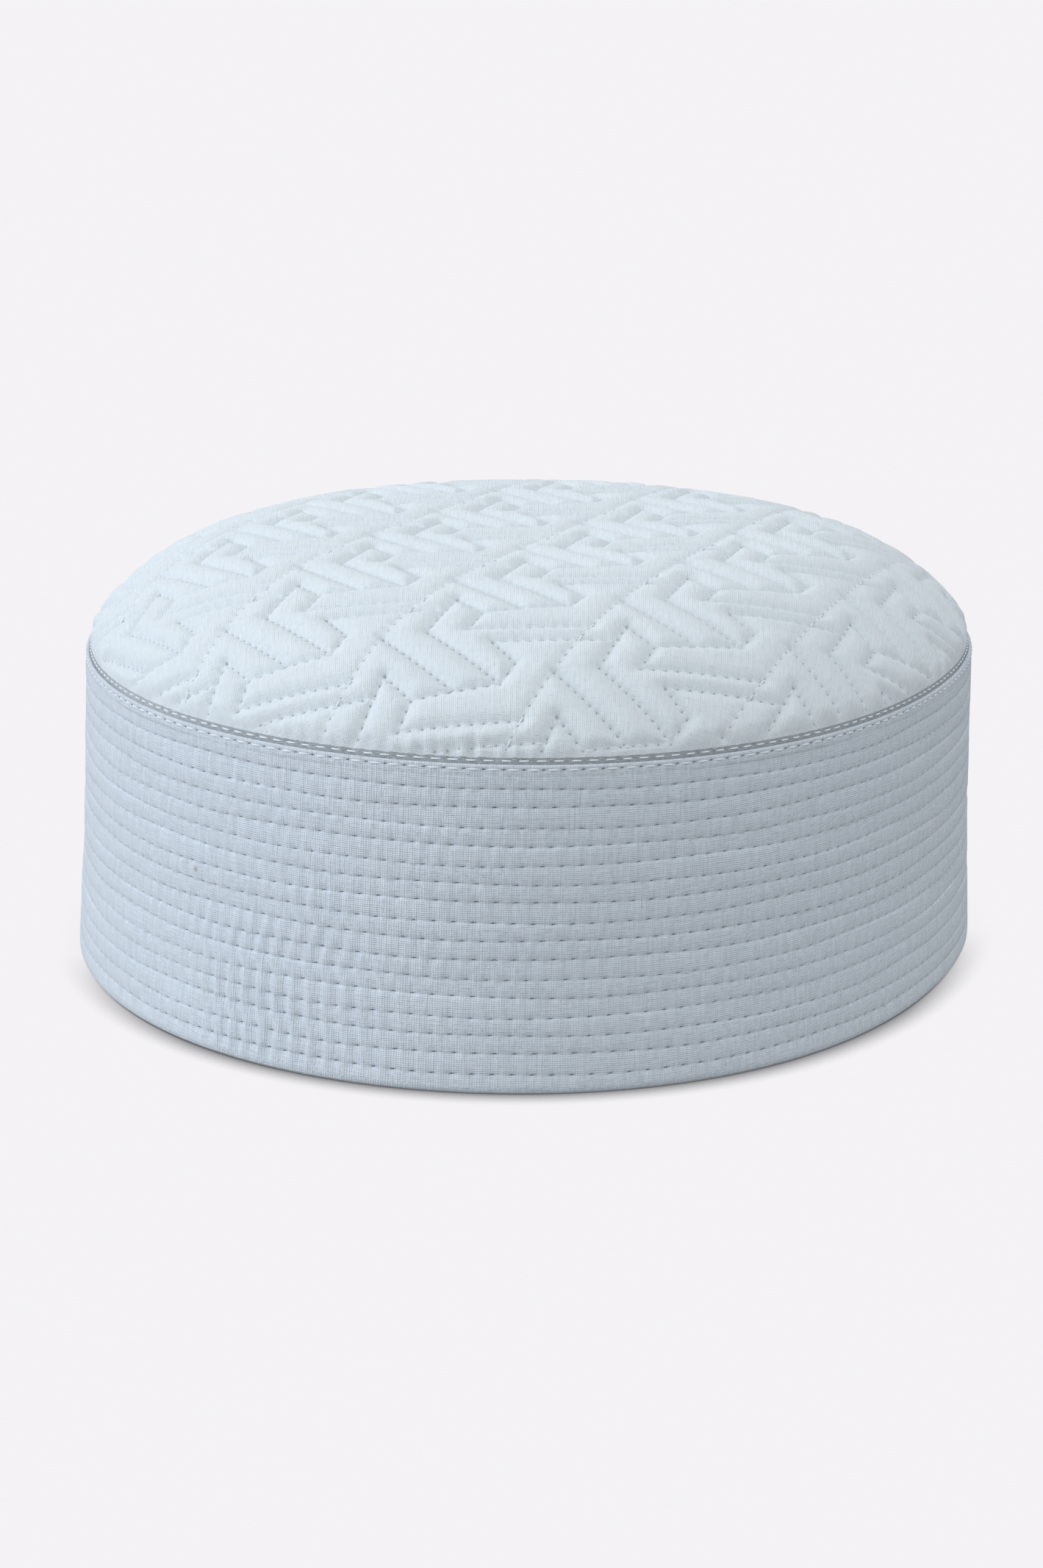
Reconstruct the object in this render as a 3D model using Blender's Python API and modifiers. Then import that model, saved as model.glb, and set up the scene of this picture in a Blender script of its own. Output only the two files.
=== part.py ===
"""A quilted white prayer cap: a stitched upright band and a padded crown tucked inside its top.

Metres, +Z up. The cap stands on the foot of its band. +Y is the back of the head and +X the wearer's left.
"""

import bpy
import bmesh
import math
from mathutils import Vector
from mathutils.geometry import delaunay_2d_cdt

NAME = "prayer_cap"

# Outside sizes of the cap at the foot of the band.
CAP_BREADTH = 0.1764
CAP_LENGTH = 0.2036

# Band: an upright wall of several cloth layers, stitched round in level rows.
BAND_HEIGHT = 0.059
BAND_WALL = 0.0022
BAND_TOP_FOLD = 0.0005
BAND_FOOT_FLAT = 0.0012
ROW_COUNT = 16
FIRST_ROW_HEIGHT = 0.0035
LAST_ROW_BELOW_TOP = 0.0044
ROW_DEPTH = 0.0005
ROUND_STEPS = 60

# Crown: a padded, quilted dome whose rim stands inside the band.
CROWN_RISE = 0.0212
QUILT_WALL = 0.0020
QUILT_PUFF = 0.0009
TUCK_DEPTH = 0.0050
RIM_FLATTENING = 0.0040
RIM_CLEARANCE = 0.0013
SEAM_GAP = 0.0003
SHOULDER_STAND_OFF = 0.0010
SHOULDER_POWER = 4.76
TOP_POWER = 1.2
INNER_RINGS = 6
FIRST_INNER_STEP = 0.35
PROFILE_STEPS = 400
NORMAL_SPAN = 1 / 40

# The quilting's lattice on the flat cloth: two steps, each a length and a direction.
QUILT_TURN = math.radians(14.2)
QUILT_ORIGIN = (-0.0250, -0.0797)
STEP_ACROSS = 0.00748
STEP_ACROSS_TILT = math.radians(-4.6)
STEP_UP = 0.00634
STEP_UP_TILT = math.radians(63.0)
SAMPLES_PER_STEP = 2
LATTICE_REACH = 4

# The pull of the cloth: the grain bows by its distance from a line, squared over one length,
# and the lattice narrows along the cap by the distance over the other.
BOW_CENTRE = -0.0593
BOW_LENGTH = 0.321
NARROWING_LENGTH = 1.139

CLOTH_COLOURS = {
    "band": (0.72, 0.76, 0.82, 1.0),
    "crown": (0.78, 0.82, 0.87, 1.0),
}

# The band's outer radius at a share of its height, as a share of the radius at its foot.
BAND_TAPER = (
    # height, radius
    (0.00, 1.000),
    (0.40, 0.986),
    (1.00, 0.978),
)

# Lobes of the plan besides the oval: waves round the cap, share of the radius, direction.
PLAN_LOBES = (
    # waves, share, direction
    (3, 0.020, math.radians(44.2)),
)

# One repeat of the quilting, as seams between lattice points (steps across, steps up).
REPEAT_RIGHT = (5, -3)
REPEAT_UP = (0, 4)
SEAMS = (
    # from, to
    ((0, 0), (0, 4)),
    ((1, 0), (0.8, 2.15)),
    ((2, -0.2), (1.9, 0.85)),
    ((0, 0), (2.8, -3.1)),
    ((1, 0), (3.9, -3.2)),
    ((2.9, -1.1), (3.9, -2.35)),
    ((0.8, -1.85), (1.9, -3.15)),
    ((3.9, -3.2), (3.9, -2.35)),
    ((1.9, -3.15), (3.9, -3.2)),
    ((2, -0.2), (5, -0.8)),
    ((2.9, -1.1), (5.9, -1.7)),
)

MEAN_RADIUS = (CAP_BREADTH + CAP_LENGTH) / 4
OVAL_SHARE = (CAP_LENGTH - CAP_BREADTH) / (CAP_LENGTH + CAP_BREADTH)


def plan_factor(angle):
    """How far the plan lies outside its mean circle in a direction, as a factor."""
    factor = 1 - OVAL_SHARE * math.cos(2 * angle)
    for waves, share, direction in PLAN_LOBES:
        factor += share * math.cos(waves * (angle - direction))
    return factor


def plan_centre():
    """The middle of the plan's bounding box at the foot of the band."""
    points = []
    for step in range(ROUND_STEPS):
        angle = 2 * math.pi * step / ROUND_STEPS
        radius = MEAN_RADIUS * plan_factor(angle)
        points.append((radius * math.cos(angle), radius * math.sin(angle)))
    across = [point[0] for point in points]
    along = [point[1] for point in points]
    return (min(across) + max(across)) / 2, (min(along) + max(along)) / 2


CENTRE_X, CENTRE_Y = plan_centre()


def to_plan(point):
    """Move a point of the turned form onto the oval plan, centred on the origin."""
    radius = math.hypot(point.x, point.y)
    angle = math.atan2(point.y, point.x)
    radius *= plan_factor(angle)
    return Vector((radius * math.cos(angle) - CENTRE_X, radius * math.sin(angle) - CENTRE_Y, point.z))


def taper(height):
    """The band's outer radius at a height, on smooth steps between the table's rows."""
    share = min(max(height / BAND_HEIGHT, 0), 1)
    for (low, low_radius), (high, high_radius) in zip(BAND_TAPER, BAND_TAPER[1:]):
        if share <= high:
            return MEAN_RADIUS * (low_radius + (high_radius - low_radius) * (share - low) / (high - low))
    return MEAN_RADIUS * BAND_TAPER[-1][1]


def row_heights():
    """Heights of the stitched rows, top to bottom."""
    span = BAND_HEIGHT - FIRST_ROW_HEIGHT - LAST_ROW_BELOW_TOP
    return [FIRST_ROW_HEIGHT + span * row / (ROW_COUNT - 1) for row in reversed(range(ROW_COUNT))]


def band_profile():
    """The band's closed cross-section: down the ribbed outside, across the foot, up the inside."""
    edge = (BAND_WALL - BAND_FOOT_FLAT) / 2
    profile = [
        (taper(BAND_HEIGHT) - BAND_WALL / 2, BAND_HEIGHT),
        (taper(BAND_HEIGHT) - BAND_TOP_FOLD, BAND_HEIGHT - BAND_TOP_FOLD),
    ]
    rows = row_heights()
    above = BAND_HEIGHT - BAND_TOP_FOLD
    for height in rows:
        crest = (above + height) / 2
        profile.append((taper(crest), crest))
        profile.append((taper(height) - ROW_DEPTH, height))
        above = height
    profile.append((taper(0), (rows[-1] + edge) / 2))
    profile.append((taper(0) - edge, 0))
    profile.append((taper(0) - BAND_WALL + edge, 0))
    profile.append((taper(0) - BAND_WALL, edge))
    for share, _ in BAND_TAPER[1:-1]:
        height = share * BAND_HEIGHT
        profile.append((taper(height) - BAND_WALL, height))
    profile.append((taper(BAND_HEIGHT) - BAND_WALL, BAND_HEIGHT - BAND_WALL / 2))
    return profile


def cloth_material(name):
    """Matt white cloth."""
    material = bpy.data.materials.new(name + "_cloth")
    material.use_nodes = True
    shader = material.node_tree.nodes["Principled BSDF"]
    shader.inputs["Base Color"].default_value = CLOTH_COLOURS[name]
    shader.inputs["Roughness"].default_value = 0.85
    shader.inputs["Metallic"].default_value = 0.0
    material.diffuse_color = CLOTH_COLOURS[name]
    return material


def add_object(name, mesh, collection):
    """Link a mesh as a named sub-part with its own material."""
    mesh.materials.clear()
    mesh.materials.append(cloth_material(name))
    mesh.shade_smooth()
    mesh.set_sharp_from_angle(angle=math.radians(50))
    made = bpy.data.objects.new(name, mesh)
    collection.objects.link(made)
    return made


def turned_mesh(name, profile, collection):
    """Turn a closed profile about Z with a Screw modifier and give back the plain mesh."""
    outline = bpy.data.meshes.new(name + "_profile")
    count = len(profile)
    points = [(radius, 0, height) for radius, height in profile]
    outline.from_pydata(points, [(at, (at + 1) % count) for at in range(count)], [])
    holder = bpy.data.objects.new(name + "_turning", outline)
    collection.objects.link(holder)
    screw = holder.modifiers.new("turn", "SCREW")
    screw.axis = "Z"
    screw.steps = ROUND_STEPS
    screw.render_steps = ROUND_STEPS
    screw.use_merge_vertices = True
    screw.merge_threshold = 0.00001
    bpy.context.view_layer.update()
    seen = holder.evaluated_get(bpy.context.evaluated_depsgraph_get())
    mesh = bpy.data.meshes.new_from_object(seen)
    bpy.data.objects.remove(holder)
    bpy.data.meshes.remove(outline)
    mesh.name = name
    return mesh


def make_band(collection):
    """The stitched band: turned from its profile, then brought to the oval plan."""
    mesh = turned_mesh("band", band_profile(), collection)
    for vertex in mesh.vertices:
        vertex.co = to_plan(vertex.co)
    return add_object("band", mesh, collection)


def shoulder_radius():
    """The dome's widest radius, just above the seam."""
    return taper(BAND_HEIGHT) - SHOULDER_STAND_OFF


def rim_radius():
    """The crown's outer radius where it stands inside the band."""
    return taper(BAND_HEIGHT) - BAND_WALL - SEAM_GAP


def dome_point(turn):
    """The dome's outer profile, from the seam (turn 0) to the apex (turn a quarter circle)."""
    radius = shoulder_radius() * math.cos(turn) ** (2 / SHOULDER_POWER)
    height = BAND_HEIGHT + BAND_WALL / 2 + CROWN_RISE * math.sin(turn) ** (2 / TOP_POWER)
    return radius, height


def dome_profile():
    """The dome's profile from apex to seam, as rows of arc length, radius and height."""
    rows = []
    arc = 0.0
    last = None
    for step in range(PROFILE_STEPS + 1):
        share = 1 - step / PROFILE_STEPS
        radius, height = dome_point(max(share, 0) * math.pi / 2) if step else (0.0, dome_point(math.pi / 2)[1])
        if last:
            arc += math.hypot(radius - last[0], height - last[1])
        rows.append((arc, radius, height))
        last = (radius, height)
    return rows


def on_dome(arc, rows, drop=0.0):
    """The profile point an arc length from the apex, and set in from the cloth by drop."""
    arc = min(max(arc, 0), rows[-1][0])
    low = 0
    high = len(rows) - 1
    while high - low > 1:
        middle = (low + high) // 2
        if rows[middle][0] <= arc:
            low = middle
        else:
            high = middle
    share = (arc - rows[low][0]) / (rows[high][0] - rows[low][0])
    radius = rows[low][1] + (rows[high][1] - rows[low][1]) * share
    height = rows[low][2] + (rows[high][2] - rows[low][2]) * share
    reach = rows[-1][0] * NORMAL_SPAN
    before = on_dome(arc - reach, rows) if drop else (radius, height)
    after = on_dome(arc + reach, rows) if drop else (radius, height)
    if drop:
        run = after[0] - before[0]
        fall = after[1] - before[1]
        length = math.hypot(run, fall)
        radius += drop * fall / length
        height -= drop * run / length
    return max(radius, 0), height


def lattice_steps():
    """The lattice's two steps as vectors on the flat cloth."""
    across = (STEP_ACROSS * math.cos(STEP_ACROSS_TILT), STEP_ACROSS * math.sin(STEP_ACROSS_TILT))
    up = (STEP_UP * math.cos(STEP_UP_TILT), STEP_UP * math.sin(STEP_UP_TILT))
    return across, up


def lattice_to_cloth(i, j):
    """The place on the pulled cloth of a lattice point."""
    across, up = lattice_steps()
    x = QUILT_ORIGIN[0] + across[0] * i + up[0] * j
    y = QUILT_ORIGIN[1] + across[1] * i + up[1] * j
    return x - x * y / NARROWING_LENGTH, y + (x - BOW_CENTRE) ** 2 / BOW_LENGTH


def share_of_plan(x, y):
    """The distance of a place on the cloth from its middle, brought from the oval to the mean circle."""
    return math.hypot(x, y) / plan_factor(math.atan2(y, x) + QUILT_TURN)


def seam_distance(i, j):
    """The distance on the cloth from a lattice place to the nearest quilting seam."""
    across, up = lattice_steps()
    cell = math.floor(i / REPEAT_RIGHT[0])
    i -= cell * REPEAT_RIGHT[0]
    j -= cell * REPEAT_RIGHT[1]
    j -= math.floor(j / REPEAT_UP[1]) * REPEAT_UP[1]
    nearest = STEP_ACROSS
    for right in (-2, -1, 0, 1):
        for rise in (-2, -1, 0, 1, 2):
            shift_i = right * REPEAT_RIGHT[0]
            shift_j = right * REPEAT_RIGHT[1] + rise * REPEAT_UP[1]
            for start, end in SEAMS:
                from_i = start[0] + shift_i - i
                from_j = start[1] + shift_j - j
                run_i = end[0] - start[0]
                run_j = end[1] - start[1]
                x = across[0] * from_i + up[0] * from_j
                y = across[1] * from_i + up[1] * from_j
                run_x = across[0] * run_i + up[0] * run_j
                run_y = across[1] * run_i + up[1] * run_j
                share = -(x * run_x + y * run_y) / (run_x * run_x + run_y * run_y)
                share = min(max(share, 0), 1)
                nearest = min(nearest, math.hypot(x + share * run_x, y + share * run_y))
    return nearest


def puff(distance):
    """The padding's rise above the seams at a distance from the nearest one."""
    half_strip = STEP_UP * math.sin(STEP_UP_TILT - STEP_ACROSS_TILT) / 2
    share = min(distance / half_strip, 1)
    return QUILT_PUFF * math.sqrt(share * (2 - share))


def cloth_samples(limit):
    """Lattice places on the cloth inside a radius, with their rise, which fades toward the rim."""
    reach = math.ceil(LATTICE_REACH * limit / min(STEP_ACROSS, STEP_UP)) * SAMPLES_PER_STEP
    samples = []
    for row in range(-reach, reach + 1):
        for column in range(-reach, reach + 1):
            i = column / SAMPLES_PER_STEP
            j = row / SAMPLES_PER_STEP
            x, y = lattice_to_cloth(i, j)
            inside = limit - share_of_plan(x, y)
            if inside > RIM_CLEARANCE:
                samples.append((x, y, puff(seam_distance(i, j)) * min(inside / RIM_FLATTENING, 1)))
    return samples


def outer_crown(rows):
    """The quilted face: lattice samples joined on the flat cloth, then lifted onto the dome."""
    limit = rows[-1][0]
    samples = cloth_samples(limit)
    flat = [Vector((x, y)) for x, y, _ in samples]
    rises = [rise for _, _, rise in samples]
    first_rim = len(flat)
    for step in range(ROUND_STEPS):
        angle = 2 * math.pi * step / ROUND_STEPS
        edge = limit * plan_factor(angle)
        flat.append(Vector((edge * math.cos(angle - QUILT_TURN), edge * math.sin(angle - QUILT_TURN))))
        rises.append(0.0)
    places, _, faces, _, _, _ = delaunay_2d_cdt(flat, [], [], 0, 1e-7)
    points = []
    for place, rise in zip(places, rises):
        radius, height = on_dome(share_of_plan(place.x, place.y), rows, -rise)
        angle = math.atan2(place.y, place.x) + QUILT_TURN
        points.append(Vector((radius * math.cos(angle), radius * math.sin(angle), height)))
    return points, [tuple(face) for face in faces], first_rim


def add_ring(points, radius, height):
    """Add a ring of points to a list and give back the number of its first point."""
    first = len(points)
    for step in range(ROUND_STEPS):
        angle = 2 * math.pi * step / ROUND_STEPS
        points.append(Vector((radius * math.cos(angle), radius * math.sin(angle), height)))
    return first


def join_rings(faces, upper, lower):
    """Join two rings with quads that face out on an outside that runs downward."""
    for step in range(ROUND_STEPS):
        after = (step + 1) % ROUND_STEPS
        faces.append((upper + step, lower + step, lower + after, upper + after))


def make_crown(collection):
    """The padded crown: quilted outside, a tuck inside the band, plain inside."""
    rows = dome_profile()
    points, faces, ring = outer_crown(rows)
    rim = rim_radius()
    neck = (
        (rim, BAND_HEIGHT - BAND_WALL / 2),
        (rim, BAND_HEIGHT - TUCK_DEPTH),
        (rim - QUILT_WALL, BAND_HEIGHT - TUCK_DEPTH),
        (rim - QUILT_WALL, BAND_HEIGHT),
    )
    for radius, height in neck:
        below = add_ring(points, radius, height)
        join_rings(faces, ring, below)
        ring = below
    limit = rows[-1][0]
    for step in range(INNER_RINGS):
        share = 1 - (step + FIRST_INNER_STEP) / (INNER_RINGS + FIRST_INNER_STEP)
        radius, height = on_dome(limit * share, rows, QUILT_WALL)
        above = add_ring(points, min(radius, rim - QUILT_WALL), height)
        join_rings(faces, ring, above)
        ring = above
    apex = len(points)
    points.append(Vector((0, 0, rows[0][2] - QUILT_WALL)))
    for step in range(ROUND_STEPS):
        faces.append((ring + step, apex, ring + (step + 1) % ROUND_STEPS))
    mesh = bpy.data.meshes.new("crown")
    mesh.from_pydata([to_plan(point) for point in points], [], faces)
    tidy = bmesh.new()
    tidy.from_mesh(mesh)
    bmesh.ops.recalc_face_normals(tidy, faces=tidy.faces[:])
    tidy.to_mesh(mesh)
    tidy.free()
    return add_object("crown", mesh, collection)


def main():
    """Clear the scene and build the cap."""
    for old in list(bpy.data.objects):
        bpy.data.objects.remove(old, do_unlink=True)
    collection = bpy.data.collections.new(NAME)
    bpy.context.scene.collection.children.link(collection)
    make_band(collection)
    make_crown(collection)


main()
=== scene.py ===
"""Looks of the quilted prayer cap: fine cloth, padding, stitches, floor, light and camera."""

import math
import bpy
import numpy as np
from mathutils import Matrix, Vector
from mathutils.geometry import delaunay_2d_cdt


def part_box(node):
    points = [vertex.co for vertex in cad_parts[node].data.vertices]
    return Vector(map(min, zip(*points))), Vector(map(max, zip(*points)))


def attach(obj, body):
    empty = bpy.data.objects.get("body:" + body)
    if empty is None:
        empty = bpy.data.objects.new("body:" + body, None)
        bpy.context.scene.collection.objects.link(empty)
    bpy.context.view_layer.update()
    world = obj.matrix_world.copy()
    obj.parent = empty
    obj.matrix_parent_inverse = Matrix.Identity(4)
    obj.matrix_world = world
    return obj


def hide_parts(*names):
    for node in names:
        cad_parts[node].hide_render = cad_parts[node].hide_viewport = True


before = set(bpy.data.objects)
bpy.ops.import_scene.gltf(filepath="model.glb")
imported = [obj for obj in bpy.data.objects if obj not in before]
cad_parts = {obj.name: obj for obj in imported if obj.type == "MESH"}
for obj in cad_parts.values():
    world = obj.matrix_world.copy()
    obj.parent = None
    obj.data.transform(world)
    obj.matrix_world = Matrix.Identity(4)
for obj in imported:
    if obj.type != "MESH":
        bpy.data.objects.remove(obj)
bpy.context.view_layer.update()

# Sizes shared with the CAD model, in metres and radians.
BAND_LOW, BAND_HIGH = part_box("band")
BAND_HEIGHT = BAND_HIGH[2] - BAND_LOW[2]
CAP_BREADTH = 0.1764
CAP_LENGTH = 0.2036
CAP_CENTRE = (-0.00122, -0.00140)
PLAN_LOBES = (
    # waves round the cap, share of the radius, direction of a lobe
    (3, 0.020, math.radians(44.2)),
)
BAND_TAPER = (
    # share of the band's height, share of the mean radius
    (0.00, 1.000),
    (0.40, 0.986),
    (1.00, 0.978),
)
BAND_WALL = 0.0022
BAND_FOOT_FLAT = 0.0012
QUILT_WALL = 0.0020
SEAM_GAP = 0.0003
CROWN_RISE = 0.0212
SHOULDER_STAND_OFF = 0.0010
SHOULDER_POWER = 4.76
TOP_POWER = 1.2
DOME_PROFILE_POINTS = 401
DOME_NORMAL_SPANS = 40

# Smooth noise round the cap: a few waves, each turned by its seed and fainter than the one before.
NOISE_WAVES = (3, 7, 12, 19)
NOISE_SEED_TURN = 2.4
NOISE_WAVE_TURN = 1.7
NOISE_FIRST_DIVISOR = 1.5
NOISE_REACH = 1.4

# Band stitching: level rows, each row a ring of equal stitches.
ROW_COUNT = 16
FIRST_ROW_HEIGHT = 0.0035
LAST_ROW_BELOW_TOP = 0.0044
ROW_WANDER = 0.0004
ROW_DEPTH = 0.00018
RIB_FLATNESS = 3
BAND_STITCHES = 182
COLUMNS_PER_STITCH = 4
HEM_SHARES = (0.35, 0.7, 0.93)
RIB_SHARES = (0.05, 0.17, 0.36, 0.64, 0.83, 0.95)
BAND_HOLE_DEPTH = 0.00034
# The fold's needle holes as a share of a full hole: this sets both their dent and their painted shade.
TOPSTITCH_HOLE_SHARE = 0.85
TOPSTITCH_BELOW_TOP = 0.0008

# How far a row's stitches are shifted, in stitches: two slow waves over the rows, weaker in the low rows.
ROW_SHIFT_LOWEST = 0.2
ROW_SHIFT_ROWS = 12
ROW_SHIFT_WAVES = (
    # reach, turn from row to row, start
    (0.35, 2.1, 0),
    (0.30, 0.9, 1),
)

# Each stitch is a low arch of thread, with its ends in the cloth. Heights are in thread radii.
THREAD_RADIUS = 0.00019
CROWN_THREAD_RADIUS = 0.9 * THREAD_RADIUS
THREAD_SHARE = 0.72
THREAD_ARCH = 1.5
THREAD_SINK = 0.9
THREAD_END_SHARE = 0.55
THREAD_ARCH_SHARE = 0.45
THREAD_FLATNESS = 0.8
THREAD_SIDES = 5
THREAD_RINGS = 5

# The band's folded top edge: how far below the top, and how far out from the band's face.
TOP_FOLD = (
    # below the top, outward
    (0.0019, 0.00002),
    (0.0016, 0.00005),
    (0.0012, 0.00008),
    (TOPSTITCH_BELOW_TOP, 0.0),
    (0.0004, 0.00009),
    (0.0001, 0.00002),
    (0.0000, -0.00030),
    (0.00004, -0.00068),
    (0.0004, -0.00088),
    (0.0008, -0.00095),
    (0.0014, -0.0016),
    (0.0022, -BAND_WALL),
)
BAND_INNER_HEIGHTS = (0.050, 0.035, 0.020, 0.008, 0.0006)
INNER_WRINKLE = 0.00010
INNER_WRINKLE_SEED = 100
INNER_WRINKLE_WAVES = (4, 9, 15, 31)
FOOT_EDGE_INWARD = 0.0001
FOOT_EDGE_HEIGHT = 0.0005

# How far the weave runs on from ring to ring where the band's cloth turns over and inside.
FOLD_CLOTH_STEP = 0.0004
INNER_CLOTH_STEP = 0.013
FOOT_CLOTH_STEP = 0.0008
LAST_CLOTH_STEP = 0.001

# Each stitch pinches the cloth near its row, and here and there the pinch runs from row to row.
PINCH_DEPTH = 0.00016
PINCH_POWER = 2
PILLOW_POWER = 1.5
PUCKER_BETWEEN_ROWS = 0.65
PUCKER_UNEVENNESS = 0.6
PUCKER_SEED = 40
PUCKER_WAVES = (23, 37, 61, 83)
BAND_PUCKERS = (
    # direction round the cap, spread, height, reach, depth
    (math.radians(-102.5), math.radians(9), 0.011, 0.018, 0.00036),
    (math.radians(-112), math.radians(36), 0.026, 0.040, 0.00003),
)

# The whole wall buckles a little too, except at its foot.
BUCKLE_DEPTH = 0.00012
BUCKLE_SEED = 5
BUCKLE_SEED_STEP = 0.6
BUCKLE_WAVES = (5, 9, 14, 23)
BUCKLE_FROM_ROW = 3

# Quilting: a lattice on the pulled cloth, and one repeat of its seams in lattice steps.
QUILT_TURN = math.radians(14.2)
QUILT_ORIGIN = (-0.0250, -0.0797)
STEP_ACROSS = 0.00748
STEP_ACROSS_TILT = math.radians(-4.6)
STEP_UP = 0.00634
STEP_UP_TILT = math.radians(63.0)
BOW_CENTRE = -0.0593
BOW_LENGTH = 0.321
NARROWING_LENGTH = 1.139
LATTICE_REACH = 4
REPEAT_RIGHT = (5, -3)
REPEAT_UP = (0, 4)
NEAR_REPEATS_RIGHT = (-2, -1, 0, 1)
NEAR_REPEATS_UP = (-2, -1, 0, 1, 2)
SEAMS = (
    # from, to, how far the seam pulls the padding down
    ((0, 0), (0, 4), 0.38),
    ((1, 0), (0.8, 2.15), 0.9),
    ((2, -0.2), (1.9, 0.85), 0.9),
    ((0, 0), (2.8, -3.1), 1.0),
    ((1, 0), (3.9, -3.2), 1.0),
    ((2.9, -1.1), (3.9, -2.35), 1.0),
    ((0.8, -1.85), (1.9, -3.15), 1.0),
    ((3.9, -3.2), (3.9, -2.35), 0.9),
    ((1.9, -3.15), (3.9, -3.2), 0.85),
    ((2, -0.2), (5, -0.8), 0.85),
    ((2.9, -1.1), (5.9, -1.7), 0.85),
)
QUILT_PUFF = 0.0014
PUFF_POWER = 0.85
FATNESS_CHANGE = 0.2
FATNESS_TURN_ALONG = 55
FATNESS_TURN_ACROSS = 60
QUILT_SAMPLES = 9
QUILT_STITCH = 0.0022
PARTS_PER_STITCH = 4
SIDE_OFFSET = 0.0005
SIDE_CLEARANCE = 0.8 * SIDE_OFFSET
LATTICE_CLEARANCE = 1.6 * SIDE_OFFSET
CLOSEST_POINTS = 0.00025
JOIN_TOLERANCE = 1e-8
SEAM_ARCH = 0.00012
QUILT_HOLE_DEPTH = 0.00015
SIDE_PUCKER = 0.00007

# The crown's edge: a row of stitches just over the band's fold, and the fullness gathered into it.
RIM_FADE = 0.0030
RIM_FADE_POWER = 0.7
RIM_STITCHES = 205
RIM_HOLE_DEPTH = 0.00012
# How strongly painted shade darkens the needle holes of the rim's row.
RIM_HOLE_MARK = 0.68
RIM_GATHER_DEPTH = 0.00014
RIM_GATHER_REACH = 0.0034
RIM_GATHER_DIRECTION = math.radians(-82)
RIM_GATHER_SPREAD = math.radians(13)
RIM_GATHER_PEAK = 1.1
RIM_GATHER_LEVEL = 0.55
RIM_GATHER_CHANGE = 0.45
RIM_GATHER_SEED = 9
CROWN_WAVES = (5, 11, 17, 29)
CROWN_EDGE = (
    # height over the band's top, inward of the shoulder, share of the gathers
    (0.00055, -0.00010, 0.7),
    (0.00010, -0.00024, 0.2),
    (-0.0004, -0.00022, 0.0),
    (-0.0009, 0.0003, 0.0),
)

# Inside the band the crown's edge goes down, turns, and comes up as its backing.
# Its depths are measured down from the band's top.
EDGE_DEPTHS = (0.0016, 0.0045)
BACKING_DEPTHS = (0.0050, 0.0005)
BACKING_SAG = 0.0002
INNER_RINGS = 8
INNER_RING_START = 0.4

# Where the weave of the crown's edge and of the middle of its backing is taken from.
EDGE_CLOTH_START = 0.120
EDGE_CLOTH_STEP = 0.006
APEX_CLOTH = ((0.0, 0.3), (0.001, 0.301), (0.002, 0.3))

# Small tucks in the crown where its fullness is caught in the rim.
TUCK_WIDTH = 0.0007
RIM_TUCKS = (
    # direction round the cap, lean, length, depth
    (math.radians(-79.4), 0.35, 0.0050, 0.00045),
    (math.radians(-81.6), 0.10, 0.0062, 0.00050),
    (math.radians(-83.9), -0.15, 0.0048, 0.00045),
    (math.radians(-86.5), -0.40, 0.0040, 0.00035),
)

# Brown flecks on the band and on the crown's cloth.
BAND_FLECKS = (
    # direction round the cap, height, radius, strength
    (math.radians(-113.7), 0.0326, 0.00055, 0.55),
    (math.radians(-67.8), 0.0506, 0.00050, 0.16),
)
CROWN_FLECKS = (
    # place along and across the flat cloth, radius, strength
    (-0.0090, -0.0335, 0.0006, 0.18),
)
FLECK_COLOUR = (0.28, 0.19, 0.13)
FLECK_CORE = 0.4
FLECK_EDGE = 1.3

# Colours of the cloth and the thread.
BAND_COLOUR = (0.715, 0.806, 0.900)
BAND_SHADE = (0.685, 0.775, 0.870)
CROWN_COLOUR = (0.740, 0.820, 0.880)
CROWN_SHADE = (0.708, 0.790, 0.852)
THREAD_COLOUR = (0.80, 0.87, 0.92)
THREAD_SHADE = (0.68, 0.75, 0.81)
BAND_WEAVE_PITCH = 0.00042
BAND_WEAVE_DEPTH = 0.00010
BAND_SHEEN = 0.25
CROWN_WEAVE_PITCH = 0.00036
CROWN_WEAVE_DEPTH = 0.00008
CROWN_SHEEN = 0.15
# Painted shade in the needle holes: where a hole is marked, the cloth's colour darkens toward these.
BAND_HOLE_PAINTED_SHADE = (0.13, 0.15, 0.18)
CROWN_HOLE_PAINTED_SHADE = (0.45, 0.49, 0.53)
# Where the painted shade of a needle hole starts on the hole mark, and how softly it comes in.
HOLE_EDGE = 0.45
HOLE_SOFTNESS = 0.3
# Painted shade between the weave's threads: how dark the gaps are, and up to which weave height they
# darken.
THREAD_GAP_SHADE = 0.82
THREAD_GAP_SHADE_EDGE = 0.6
BAND_STREAK_SHADE = 0.83
CROWN_STREAK_SHADE = 0.92

# Finish of the cloth and the thread.
CLOTH_ROUGHNESS = 0.82
CLOTH_SPECULAR = 0.25
CLOTH_SHEEN_ROUGHNESS = 0.45
THREAD_ROUGHNESS = 0.6
THREAD_SHEEN = 0.2

# Grain of the cloth: noise scales for a metre of cloth, and the noise's useful range.
CLOUD_SCALE = 28.0
SLUB_SCALE = 1100.0
STREAK_SCALE = 2000.0
THREAD_TINT_SCALE = 700.0
CLOUD_RANGE = (0.3, 0.7)
STREAK_RANGE = (0.36, 0.64)
STREAK_SQUEEZES = (
    # across, along
    (1.0, 0.10),
    (0.16, 1.0),
)
LEVEL_STREAK_SHARE = 0.38
LEVEL_THREAD_PITCH = 0.8
THREAD_WAVER = 0.9
THREAD_WAVER_DETAIL = 2.0
THREAD_WAVER_SCALE = 1.2

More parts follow.
